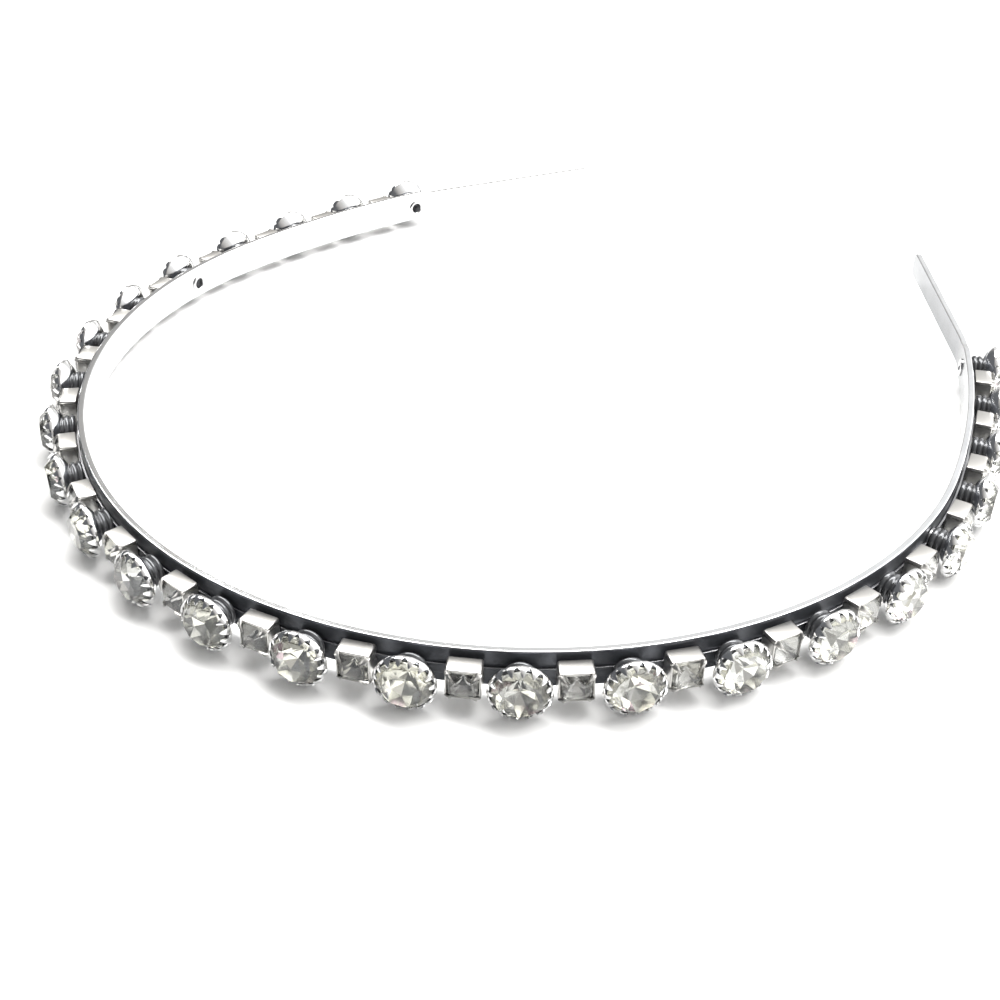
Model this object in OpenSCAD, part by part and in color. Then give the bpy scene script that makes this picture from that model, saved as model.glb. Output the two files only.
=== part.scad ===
// Rhinestone headband lying on its edge. A sprung steel band is bent to a U, open at the back.
// A row of round and square stone settings runs along its outer face, on a narrow carrier strip.
// Millimetres, +Z up. The origin is on the floor, at the middle of the whole object's length and width.

/* [Band] */
// Radius of the band's outer face round the front, which reaches to both temples
front_r = 68; // [60:1:76]
// Radius of the flatter stretch behind each temple
side_r = 150; // [120:5:200]
// Radius of the bend just past each end of the row
bend_r = 23; // [15:1:40]
// Angle of that bend, in degrees
bend_angle = 7.5; // [4:0.5:12]
// Length of the bare straight tail past the bend
tail_len = 32.5; // [20:0.5:45]
// Thickness of the band
band_t = 1; // [0.8:0.1:1.2]
// Height of the band's lower edge above the floor
band_z = 1.6; // [1.4:0.1:1.8]
// Height of the band itself, from edge to edge
band_h = 5.4; // [5.2:0.1:5.6]
// Height of the tails, which are narrower than the band
tail_h = 4.2; // [3.6:0.1:4.8]
// Length over which the band narrows to its tail
taper_len = 3; // [2:0.5:4]

/* [Row of settings] */
// Distance from one round setting to the next, along the band
pitch = 13; // [12.8:0.1:13.6]
// Height of the row's centre line above the floor
row_z = 4; // [4:0.1:4.2]
// Running gap between pieces that are pressed together
seat_gap = 0.05; // [0.04:0.01:0.06]

/* [Carrier strip] */
// Thickness of the strip
strip_t = 0.4; // [0.3:0.05:0.4]
// Height of the strip
strip_h = 1.4; // [1:0.1:1.8]
// Radius of the round pads that the rivets go through
pad_r = 1.9; // [1.8:0.05:2]

/* [Rivets] */
// Radius of the bore of each hollow rivet
rivet_bore_r = 0.9; // [0.8:0.05:0.95]
// Outer radius of the rivet's shank
rivet_r = 1.2; // [1.1:0.05:1.25]
// Radius of the flange on the band's inner face
flange_r = 1.45; // [1.4:0.05:1.6]
// Thickness of that flange
flange_t = 0.25; // [0.2:0.05:0.3]

/* [Round settings] */
// Radius of the cup at its widest
cup_r = 4; // [3.8:0.05:4]
// Radius of the two ring beads behind the cup
bead_r = 1.9; // [1.7:0.05:2]
// Number of saw teeth that hold the stone
teeth = 16; // [12:2:20]
// Radius of the round stone
stone_r = 3.5; // [3.3:0.05:3.5]
// Radius of the round stone's flat table
table_r = 1.5; // [1.2:0.1:1.8]

/* [Square settings] */
// Width and height of the square box
box_w = 4.4; // [4.2:0.1:4.4]
// Width and height of the square stone
gem_w = 3.8; // [3.6:0.1:3.8]
// Width of the square stone's flat table
gem_table_w = 1.2; // [0.8:0.1:1.6]
// Length of the corner that each flap covers, along the box's edges
flap_w = 1.3; // [1:0.1:1.5]

/* [Hidden] */
// Smoothness of round faces
$fn = 64;
// Round settings on each side of the middle one, and how many of the spaces between them are on
// the front curve
rounds_each_side = 12;
front_spaces = 9;
// A little more than a cut needs, so that it passes its face
over = 0.5;

// Lengths along one arm's outer face, from the front's middle to where each stretch ends
row_half = rounds_each_side * pitch;
front_end = front_spaces * pitch;
side_end = row_half + 4;
bend_end = side_end + bend_r * bend_angle * PI / 180;
tip_end = bend_end + tail_len;
// Headings there, in degrees
front_angle = arc_angle(front_end, front_r);
side_angle = front_angle + arc_angle(side_end - front_end, side_r);
tail_angle = side_angle + bend_angle;
// Centres of the three curves
front_centre = [0, front_r];
side_centre = front_centre + (front_r - side_r) * outward_of(front_angle);
bend_centre = side_centre + (side_r - bend_r) * outward_of(side_angle);
// Flats that stand for each curve
front_flats = 45;
side_flats = 8;
bend_flats = 3;
stations = concat(
    [for (k = [0:front_flats]) front_end * k / front_flats],
    [for (k = [1:side_flats]) front_end + (side_end - front_end) * k / side_flats],
    [for (k = [1:bend_flats]) side_end + (bend_end - side_end) * k / bend_flats],
    [tip_end]
);

// Bevel of the ring beads
bead_bevel = 0.25;

// Distances outward from the band's outer face
strip_d = seat_gap;
setting_d = strip_d + strip_t + seat_gap;
bead_len = 0.8;
cup_d = setting_d + 2 * bead_len;
rim_d = 3.9;
tooth_d = 4.8;
notch_d = 3.55;
culet_d = 1.25;
girdle_d = 4;
girdle_t = 0.15;
table_d = 5.9;
box_d = 3;
gem_girdle_d = 2.6;
gem_table_d = 4;
gem_culet_d = 1.1;
gem_girdle_t = 0.1;
flap_t = 0.3;

// Radii of the cup's neck and of its teeth
neck_r = 1.65;
culet_r = 0.15;
tooth_r = 3.25;
tooth_t = 0.2;
notch_w = 1;
rim_round = 0.15;

// Width of the square stone's blunt point
gem_culet_w = 0.6;

// Places are counted from the left tip to the right tip. A rivet is behind each of these rounds.
round_count = 2 * rounds_each_side + 1;
square_count = 2 * rounds_each_side;
rivet_places = [1, 5, 21, 25];
rivet_count = len(rivet_places);
// The small pieces are joined along the row, this many in a node
squares_a_node = 4;
stones_a_node = 5;
square_groups = square_count / squares_a_node;
stone_groups = round_count / stones_a_node;

// The object's middle from front to back, between the front stone's table and the tips
middle_y = (band_point(tip_end)[1] - table_d) / 2;

// Angle that an arc of this length turns through
function arc_angle(len, r) = len / r * 180 / PI;

// Name of a round setting, with two digits
function round_name(i) = str("round_setting_", i < 10 ? "0" : "", i);

// Direction away from the head, where the band has this heading
function outward_of(angle) = [sin(angle), -cos(angle)];

// Heading of the right arm at length s from the front's middle
function heading(s) =
    s <= front_end ? arc_angle(s, front_r)
    : s <= side_end ? front_angle + arc_angle(s - front_end, side_r)
    : s <= bend_end ? side_angle + arc_angle(s - side_end, bend_r)
    : tail_angle;

// Point of the right arm's outer face at length s
function band_point(s) =
    s <= front_end ? front_centre + front_r * outward_of(heading(s))
    : s <= side_end ? side_centre + side_r * outward_of(heading(s))
    : s <= bend_end ? bend_centre + bend_r * outward_of(heading(s))
    : bend_centre + bend_r * outward_of(tail_angle)
        + (s - bend_end) * [cos(tail_angle), sin(tail_angle)];

// Points of the right arm at a distance d outward, from the middle to a given length
function arm_line(d, end) = [
    for (s = concat([for (k = stations) if (k < end) k], [end]))
        band_point(s) + d * outward_of(heading(s))
];

// The same line mirrored to the left arm, without the point that both arms share
function left_line(d, end) =
    let (line = arm_line(d, end))
    [for (k = [len(line) - 1:-1:1]) [-line[k][0], line[k][1]]];

function reversed(line) = [for (k = [len(line) - 1:-1:0]) line[k]];

// Puts a piece drawn round the band's own curve in the object's frame
module in_frame() {
    translate([0, -middle_y, 0])
        children();
}

// Does the same thing on both arms
module both_arms() {
    children();
    mirror([1, 0, 0])
        children();
}

// Length s along the band's outer face, negative on the left arm
module along(s) {
    p = band_point(abs(s));
    mirror([s < 0 ? 1 : 0, 0, 0])
        translate([p[0], p[1], 0])
            rotate([0, 0, heading(abs(s))])
                children();
}

// Turns +Z into the outward direction, so that a turned piece stands on the band
module outward() {
    translate([0, 0, row_z])
        rotate([90, 0, 0])
            children();
}

// Centres of the round and square settings, and the places of the rivets
module at_round(i) {
    along((i - rounds_each_side - 1) * pitch)
        outward()
            children();
}

module at_square(i) {
    along((i - rounds_each_side - 0.5) * pitch)
        outward()
            children();
}

// A flat strip bent round the whole curve, between two distances outward and two heights
module bent_strip(d0, d1, z0, z1, end) {
    translate([0, 0, z0])
        linear_extrude(z1 - z0)
            polygon(concat(
                left_line(d1, end),
                arm_line(d1, end),
                reversed(arm_line(d0, end)),
                reversed(left_line(d0, end))
            ));
}

// What is cut from the upper edge, so that the band narrows to its tail
module taper_cut() {
    drop = (band_h - tail_h) / 2;
    top = band_z + band_h;
    reach = tail_len + 20;
    depth = 24;
    along(side_end - taper_len)
        translate([0, depth / 2, 0])
            rotate([90, 0, 0])
                linear_extrude(depth)
                    polygon([
                        [0, top],
                        [taper_len, top - drop],
                        [reach, top - drop],
                        [reach, top + 1],
                        [0, top + 1]
                    ]);
}

// Turns a shape over about the middle height of the band
module flipped_edge() {
    translate([0, 0, 2 * band_z + band_h])
        mirror([0, 0, 1])
            children();
}

module band() {
    color("gainsboro")
        in_frame()
            difference() {
                bent_strip(-band_t, 0, band_z, band_z + band_h, tip_end);
                both_arms() {
                    taper_cut();
                    flipped_edge()
                        taper_cut();
                }
                for (i = rivet_places)
                    at_round(i)
                        translate([0, 0, -band_t - over])
                            cylinder(h = band_t + 2 * over, r = rivet_r + seat_gap);
            }
}

module carrier_strip() {
    z0 = row_z - strip_h / 2;
    color("silver")
        in_frame()
            difference() {
                union() {
                    bent_strip(strip_d, strip_d + strip_t, z0, z0 + strip_h, row_half);
                    for (i = rivet_places)
                        at_round(i)
                            translate([0, 0, strip_d])
                                cylinder(h = strip_t, r = pad_r);
                }
                for (i = rivet_places)
                    at_round(i)
                        translate([0, 0, -over])
                            cylinder(h = strip_t + 2 * over, r = rivet_r + seat_gap);
            }
}

// Hollow rivet: a flange on the inner face and a shank through the band and the strip
module rivet(n) {
    back = -band_t - seat_gap;
    color("silver")
        in_frame()
            at_round(rivet_places[n - 1])
                difference() {
                    union() {
                        translate([0, 0, back - flange_t])
                            cylinder(h = flange_t, r = flange_r);
                        translate([0, 0, back])
                            cylinder(h = strip_d + strip_t - back, r = rivet_r);
                    }
                    translate([0, 0, back - flange_t - over])
                        cylinder(h = flange_t + over - back + strip_d + strip_t + over, r = rivet_bore_r);
                }
}

// The round stone: point below, girdle, slanted crown and flat table, grown by a gap
module round_stone_shape(gap) {
    rotate_extrude()
        polygon([
            [0, culet_d - gap],
            [culet_r + gap, culet_d - gap],
            [stone_r + gap, girdle_d - gap],
            [stone_r + gap, girdle_d + girdle_t + gap],
            [table_r + gap, table_d + gap],
            [0, table_d + gap]
        ]);
}

// The solid that the cup is cut from: two ring beads, a neck, a flared wall and a crown of teeth
module cup_blank() {
    bead_in = bead_r - bead_bevel;
    bead_2 = setting_d + bead_len;
    rotate_extrude()
        polygon([
            [0, setting_d],
            [bead_in, setting_d],
            [bead_r, setting_d + bead_bevel],
            [bead_r, bead_2 - bead_bevel],
            [bead_in, bead_2],
            [bead_r, bead_2 + bead_bevel],
            [bead_r, cup_d - bead_bevel],
            [neck_r, cup_d],
            [neck_r + 0.1, cup_d + 0.2],
            [cup_r - rim_round, notch_d],
            [cup_r, rim_d - rim_round],
            [cup_r, rim_d],
            [tooth_r, tooth_d],
            [tooth_r - tooth_t, tooth_d],
            [0, tooth_d]
        ]);
}

// Notches between opposite pairs of teeth, cut by bars right across
module notches() {
    bar = 2 * cup_r + 2;
    for (k = [0:teeth / 2 - 1])
        rotate([0, 0, (k + 0.5) * 360 / teeth])
            rotate([90, 0, 0])
                translate([0, 0, -bar / 2])
                    linear_extrude(bar)
                        polygon([
                            [0, notch_d],
                            [notch_w / 2, tooth_d + 0.1],
                            [-notch_w / 2, tooth_d + 0.1]
                        ]);
}

// What stands in front of the stone's crown and must stay open
module crown_opening() {
    translate([0, 0, girdle_d])
        cylinder(h = tooth_d, r = tooth_r - tooth_t);
}

module round_setting(i) {
    color("lightgray")
        in_frame()
            at_round(i)
                difference() {
                    cup_blank();
                    round_stone_shape(seat_gap);
                    crown_opening();
                    notches();
                }
}

module round_stones(n) {
    first = (n - 1) * stones_a_node + 1;
    color("ivory")
        in_frame()
            for (i = [first:first + stones_a_node - 1])
                at_round(i)
                    round_stone_shape(0);
}

// The square stone: a blunt point, a thin girdle and four slanted faces up to the table
module square_stone_shape(gap) {
    w = gem_w + 2 * gap;
    point_w = gem_culet_w + 2 * gap;
    table_w = gem_table_w + 2 * gap;
    levels = [
        [point_w / 2, gem_culet_d - gap],
        [w / 2, gem_girdle_d - gap],
        [w / 2, gem_girdle_d + gem_girdle_t + gap],
        [table_w / 2, gem_table_d + gap]
    ];
    last = len(levels) - 1;
    polyhedron(
        points = [for (level = levels) each [
            [-level[0], -level[0], level[1]],
            [level[0], -level[0], level[1]],
            [level[0], level[0], level[1]],
            [-level[0], level[0], level[1]]
        ]],
        faces = concat(
            [[0, 1, 2, 3]],
            [for (k = [0:last - 1], j = [0:3])
                let (a = 4 * k + j, b = 4 * k + (j + 1) % 4)
                [a, a + 4, b + 4, b]],
            [[4 * last + 3, 4 * last + 2, 4 * last + 1, 4 * last]]
        )
    );
}

// One corner flap of the box, folded over the stone's corner
module corner_flap() {
    c = box_w / 2;
    translate([0, 0, box_d - flap_t])
        linear_extrude(2 * flap_t)
            polygon([
                [c, c],
                [c - flap_w, c],
                [c, c - flap_w]
            ]);
}

module square_setting() {
    opening = gem_w + 2 * seat_gap;
    difference() {
        union() {
            difference() {
                translate([-box_w / 2, -box_w / 2, setting_d])
                    cube([box_w, box_w, box_d - setting_d]);
                translate([-opening / 2, -opening / 2, gem_girdle_d])
                    cube([opening, opening, box_d]);
            }
            for (k = [0:3])
                rotate([0, 0, 90 * k])
                    corner_flap();
        }
        square_stone_shape(seat_gap);
    }
}

module square_settings(n) {
    first = (n - 1) * squares_a_node + 1;
    color("whitesmoke")
        in_frame()
            for (i = [first:first + squares_a_node - 1])
                at_square(i)
                    square_setting();
}

module square_stones(n) {
    first = (n - 1) * squares_a_node + 1;
    color("slategray")
        in_frame()
            for (i = [first:first + squares_a_node - 1])
                at_square(i)
                    square_stone_shape(0);
}

band();
carrier_strip();
for (i = [1:rivet_count])
    rivet(i);
for (i = [1:round_count])
    round_setting(i);
for (i = [1:square_groups])
    square_settings(i);
for (i = [1:stone_groups])
    round_stones(i);
for (i = [1:square_groups])
    square_stones(i);
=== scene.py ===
"""A rhinestone headband that lies on its edge: its looks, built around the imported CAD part."""

import logging
import math
import random
from collections.abc import Sequence
from dataclasses import dataclass
from enum import Enum

import bmesh
import bpy
from mathutils import Matrix, Vector


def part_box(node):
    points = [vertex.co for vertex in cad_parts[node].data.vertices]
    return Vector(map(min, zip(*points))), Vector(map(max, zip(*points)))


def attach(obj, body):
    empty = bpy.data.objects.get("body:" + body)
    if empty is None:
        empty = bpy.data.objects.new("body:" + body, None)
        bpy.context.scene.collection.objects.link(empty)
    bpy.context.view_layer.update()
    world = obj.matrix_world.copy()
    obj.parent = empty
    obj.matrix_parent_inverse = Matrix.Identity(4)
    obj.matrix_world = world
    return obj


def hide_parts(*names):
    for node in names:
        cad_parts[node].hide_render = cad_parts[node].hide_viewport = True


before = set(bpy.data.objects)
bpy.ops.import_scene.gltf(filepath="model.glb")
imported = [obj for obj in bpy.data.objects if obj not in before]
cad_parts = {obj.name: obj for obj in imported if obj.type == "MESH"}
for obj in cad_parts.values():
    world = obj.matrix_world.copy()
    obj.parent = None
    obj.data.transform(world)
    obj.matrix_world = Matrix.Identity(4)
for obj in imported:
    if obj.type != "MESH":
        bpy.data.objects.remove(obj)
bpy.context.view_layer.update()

LOG = logging.getLogger("headband")
ROOT = "root"
MM = 0.001
TAIL_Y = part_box("band")[1].y
UP = (0.0, 0.0, 1.0)

# Attributes that the materials read, and two that the strip's tree needs on the way.
# dark is the share of painted shade on a metal face.
DARK = "dark"
FOIL = "foil"
FACET = "facet"
TONE = "tone"
TIP = "tip"
OUTWARD = "outward"

# Edges below these angles are shaded smooth.
SMOOTH_STRIP = math.radians(30)
SMOOTH_TURNED = math.radians(35)
SMOOTH_SOFT = math.radians(50)

# Faces of a stone within this angle are one facet, and one whose normal's Z is below this looks back.
ONE_FACET = math.radians(0.5)
BACKWARD = -0.1

Pair = tuple[float, float]
Triple = tuple[float, float, float]
Bend = tuple[Pair, Pair, Pair]
Stops = Sequence[tuple[float, Sequence[float]]]
Piece = bpy.types.Object
Output = bpy.types.NodeSocket


class Slot(Enum):
    """The record's material slots."""

    BAND = "band_metal"
    STRIP = "strip_metal"
    RIVET = "rivet_metal"
    ROUND_SETTING = "round_setting_metal"
    SQUARE_SETTING = "square_setting_metal"
    CLEAR_STONE = "clear_stone"
    SMOKY_STONE = "smoky_stone"


class Socket(Enum):
    """Kinds of socket on a geometry tree's outside."""

    GEOMETRY = "NodeSocketGeometry"
    OBJECT = "NodeSocketObject"
    MATERIAL = "NodeSocketMaterial"
    FLOAT = "NodeSocketFloat"
    INT = "NodeSocketInt"


class TreeWriter:
    """Fills a node tree: adds nodes, sets their sockets and joins them."""

    def __init__(self, tree: bpy.types.NodeTree) -> None:
        """Keeps the tree that the nodes go into."""
        self.tree = tree

    def add(self, kind: str, ins: dict | None = None, **settings: object) -> bpy.types.Node:
        """Adds one node.

        Args:
            kind: Blender's name of the node type.
            ins: A value, or the socket that feeds it, for each input by name or number.
            **settings: The node's own settings.

        Returns:
            The new node.
        """
        node = self.tree.nodes.new(kind)
        for name, value in settings.items():
            setattr(node, name, value)
        for key, value in (ins or {}).items():
            self.feed(node.inputs[key], value)
        return node

    def feed(self, socket: Output, value: object) -> None:
        """Sets an input's value, or joins it to the socket that feeds it.

        Args:
            socket: The input.
            value: A plain value or an output socket.
        """
        if isinstance(value, Output):
            self.tree.links.new(value, socket)
        else:
            socket.default_value = value

    def math(self, operation: str, *values: object, clamp: bool = False) -> Output:
        """Result of a Math node on its inputs in order."""
        ins = dict(enumerate(values))
        return self.add("ShaderNodeMath", ins, operation=operation, use_clamp=clamp).outputs[0]

    def vector(self, operation: str, *values: object, result: str = "Vector") -> Output:
        """Result of a Vector Math node on its inputs in order."""
        return self.add("ShaderNodeVectorMath", dict(enumerate(values)), operation=operation).outputs[result]

    def mix(self, kind: str, share: object, first: object, second: object) -> Output:
        """Mixture of two numbers or colours."""
        ins = {"Factor": share, "A": first, "B": second}
        return self.add("ShaderNodeMix", ins, data_type=kind).outputs["Result"]

    def remap(self, value: object, source: Sequence[object], target: Sequence[object]) -> Output:
        """Maps a value from one range to another, and keeps it in the second.

        Args:
            value: The value.
            source: Lowest and highest value of its own range.
            target: What they become.

        Returns:
            The mapped value.
        """
        ends = {"From Min": source[0], "From Max": source[1], "To Min": target[0], "To Max": target[1]}
        return self.add("ShaderNodeMapRange", {"Value": value, **ends}).outputs[0]

    def mark(self, name: str) -> Output:
        """Value of one of the mesh's own attributes, for a material."""
        return self.add("ShaderNodeAttribute", attribute_name=name).outputs["Fac"]

    def noise(self, scale: float, detail: float, roughness: float = 0.5) -> Output:
        """A noise pattern that lies fast in the object.

        Args:
            scale: Its scale, in waves to the metre.
            detail: How many finer layers it has.
            roughness: How strong they are.

        Returns:
            The pattern's value.
        """
        place = self.add("ShaderNodeTexCoord").outputs["Object"]
        ins = {"Vector": place, "Scale": scale, "Detail": detail, "Roughness": roughness}
        return self.add("ShaderNodeTexNoise", ins).outputs[0]

    def ramp(self, value: object, stops: Stops, stepped: bool = False) -> Output:
        """Turns a value into a colour.

        Args:
            value: The value.
            stops: Place and colour of each stop in order, at least two.
            stepped: Whether a colour holds up to the next stop.

        Returns:
            The colour.
        """
        node = self.add("ShaderNodeValToRGB", {0: value})
        if stepped:
            node.color_ramp.interpolation = "CONSTANT"
        elements = node.color_ramp.elements
        while len(elements) < len(stops):
            elements.new(0.5)
        for element, (place, colour) in zip(elements, stops):
            element.position = place
            element.color = (*colour, 1.0)
        return node.outputs[0]


class GeometryTree(TreeWriter):
    """A Geometry Nodes tree with named inputs and one geometry output."""

    def __init__(self, name: str, inputs: dict[str, Socket]) -> None:
        """Makes the empty tree.

        Args:
            name: The tree's name.
            inputs: The kind of each input after the geometry, by name.
        """
        super().__init__(bpy.data.node_groups.new(name, "GeometryNodeTree"))
        outside = self.tree.interface
        for label, kind in {"Geometry": Socket.GEOMETRY, **inputs}.items():
            outside.new_socket(label, in_out="INPUT", socket_type=kind.value)
        outside.new_socket("Geometry", in_out="OUTPUT", socket_type=Socket.GEOMETRY.value)
        self.inputs = self.add("NodeGroupInput").outputs

    def finish(self, geometry: Output) -> None:
        """Joins the result to the tree's output."""
        self.add("NodeGroupOutput", {"Geometry": geometry})

    def object_mesh(self, socket: Output) -> Output:
        """Geometry of the object that an input names."""
        return self.add("GeometryNodeObjectInfo", {"Object": socket}).outputs["Geometry"]

    def position(self) -> bpy.types.NodeOutputs:
        """X, Y and Z of each point."""
        place = self.add("GeometryNodeInputPosition").outputs[0]
        return self.add("ShaderNodeSeparateXYZ", {0: place}).outputs

    def chance(self, seed: Output, highest: object = 1.0) -> Output:
        """A random number from 0 to a highest one."""
        return self.add("FunctionNodeRandomValue", {3: highest, "Seed": seed}, data_type="FLOAT").outputs[1]

    def named(self, name: str, kind: str = "FLOAT") -> Output:
        """Value of an attribute."""
        node = self.add("GeometryNodeInputNamedAttribute", {"Name": name}, data_type=kind)
        return node.outputs["Attribute"]

    def stored(self, geometry: Output, name: str, value: Output, domain: str, kind: str = "FLOAT") -> Output:
        """Stores an attribute.

        Args:
            geometry: What it is stored on.
            name: Its name.
            value: Its value.
            domain: Whether each point, face or instance has one.
            kind: Its data type.

        Returns:
            The geometry with the attribute.
        """
        ins = {"Geometry": geometry, "Name": name, "Value": value}
        return self.add("GeometryNodeStoreNamedAttribute", ins, data_type=kind, domain=domain).outputs[0]

    def realized(self, geometry: Output) -> Output:
        """A geometry with its instances made real."""
        return self.add("GeometryNodeRealizeInstances", {"Geometry": geometry}).outputs[0]

    def dressed(self, geometry: Output) -> Output:
        """Realizes all instances and gives the faces their materials.

        Args:
            geometry: What is dressed. Faces marked as foil get the second material.

        Returns:
            The dressed geometry.
        """
        ins = {"Geometry": self.realized(geometry), "Material": self.inputs["Material"]}
        front = self.add("GeometryNodeSetMaterial", ins).outputs[0]
        foil = self.named(FOIL, "BOOLEAN")
        ins = {"Geometry": front, "Selection": foil, "Material": self.inputs["Foil Material"]}
        return self.add("GeometryNodeSetMaterial", ins).outputs[0]


def drop_empty_slots(mesh: bpy.types.Mesh) -> None:
    """Removes material slots that hold nothing.

    Args:
        mesh: The mesh. Its faces keep their materials.
    """
    held = list(mesh.materials)
    kept = [material for material in held if material]
    tail_shade = [held[face.material_index] for face in mesh.polygons]
    mesh.materials.clear()
    for material in kept:
        mesh.materials.append(material)
    mesh.polygons.foreach_set("material_index", [kept.index(m) if m else 0 for m in tail_shade])


def into_scene(name: str, mesh: bpy.types.Mesh, smooth_angle: float) -> Piece:
    """Shades a mesh and puts it into the scene.

    Args:
        name: The object's name.
        mesh: The mesh.
        smooth_angle: Edges below this angle are shaded smooth; 0 leaves the shading as it is.

    Returns:
        The new object.
    """
    if smooth_angle:
        mesh.shade_smooth()
        mesh.set_sharp_from_angle(angle=smooth_angle)
    piece = bpy.data.objects.new(name, mesh)
    bpy.context.scene.collection.objects.link(piece)
    return piece


def run_tree(host: Piece, tree: GeometryTree, name: str, values: dict[str, object],
             smooth_angle: float = 0.0) -> Piece:
    """Runs a geometry tree on an object and keeps the result as a plain mesh object.

    Args:
        host: The object whose mesh goes in. It is removed afterwards.
        tree: The tree.
        name: Name of the result.
        values: The tree's inputs by name. An object among them is removed afterwards.
        smooth_angle: Edges below this angle are shaded smooth; 0 leaves the shading as it is.

    Returns:
        The new object, with no modifier.
    """
    modifier = host.modifiers.new("build", "NODES")
    modifier.node_group = tree.tree
    for item in tree.tree.interface.items_tree:
        if item.item_type == "SOCKET" and item.in_out == "INPUT" and item.name in values:
            modifier[item.identifier] = values[item.name]
    bpy.context.view_layer.update()
    evaluated = host.evaluated_get(bpy.context.evaluated_depsgraph_get())
    mesh = bpy.data.meshes.new_from_object(evaluated)
    host.modifiers.remove(modifier)
    for used in [host] + [value for value in values.values() if isinstance(value, Piece)]:
        bpy.data.objects.remove(used)
    mesh.name = name
    drop_empty_slots(mesh)
    return into_scene(name, mesh, smooth_angle)


def mesh_object(name: str, points: Sequence[Sequence[float]], faces: Sequence[Sequence[int]],
                edges: Sequence[Pair] = (), smooth_angle: float = 0.0) -> Piece:
    """Makes a mesh object from points in millimetres.

    Args:
        name: The object's name.
        points: The corners, in millimetres.
        faces: The faces, as numbers of corners.
        edges: Loose edges, for a line.
        smooth_angle: Edges below this angle are shaded smooth; 0 leaves the mesh faceted.

    Returns:
        The new object, in the scene.
    """
    mesh = bpy.data.meshes.new(name)
    mesh.from_pydata([Vector(p) * MM for p in points], edges, faces)
    if faces:
        shell = bmesh.new()
        shell.from_mesh(mesh)
        bmesh.ops.recalc_face_normals(shell, faces=shell.faces)
        shell.to_mesh(mesh)
        shell.free()
    return into_scene(name, mesh, smooth_angle)


def turned(name: str, profile: Sequence[Pair], steps: int, ring: bool = False,
           smooth_angle: float = SMOOTH_TURNED) -> Piece:
    """Turns a profile round the Z axis.

    Args:
        name: The object's name.
        profile: Radius and height of each point, in millimetres. A radius of 0 closes the shape.
        steps: Number of steps round.
        ring: Whether the last point joins the first, as in a tube.
        smooth_angle: Edges below this angle are shaded smooth.

    Returns:
        The new object.
    """
    points: list[Triple] = []
    rows: list[list[int]] = []
    for radius, height in profile:
        count = steps if radius > 0 else 1
        rows.append([len(points) + k for k in range(count)])
        for k in range(count):
            angle = math.tau * k / steps
            points.append((radius * math.cos(angle), radius * math.sin(angle), height))
    faces = []
    for low, high in list(zip(rows, rows[1:])) + ([(rows[-1], rows[0])] if ring else []):
        for k in range(steps):
            after = (k + 1) % steps
            face = [low[k % len(low)], low[after % len(low)], high[after % len(high)], high[k % len(high)]]
            faces.append(list(dict.fromkeys(face)))
    return mesh_object(name, points, faces, smooth_angle=smooth_angle)


def lofted(name: str, loops: Sequence[Sequence[Triple]], smooth_angle: float) -> Piece:
    """Joins closed loops of equal count, and closes both ends.

    Args:
        name: The object's name.
        loops: The loops, in millimetres.
        smooth_angle: Edges below this angle are shaded smooth.

    Returns:
        The new object.
    """
    count = len(loops[0])
    points = [p for loop in loops for p in loop]
    faces: list[list[int]] = [list(range(count)), [len(points) - count + k for k in range(count)]]
    for row in range(len(loops) - 1):
        for k in range(count):
            a = row * count + k
            b = row * count + (k + 1) % count
            faces.append([a, b, b + count, a + count])
    return mesh_object(name, points, faces, smooth_angle=smooth_angle)


def bezier(bend: Bend, steps: int) -> list[Pair]:
    """Points of a curve with one control point.

    Args:
        bend: First point, control point and last point.
        steps: Number of steps.

    Returns:
        The points, both ends included.
    """
    points = []
    for k in range(steps + 1):
        t = k / steps
        weights = ((1 - t) ** 2, 2 * t * (1 - t), t * t)
        points.append(tuple(sum(w * p[i] for w, p in zip(weights, bend)) for i in range(2)))
    return points


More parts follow.
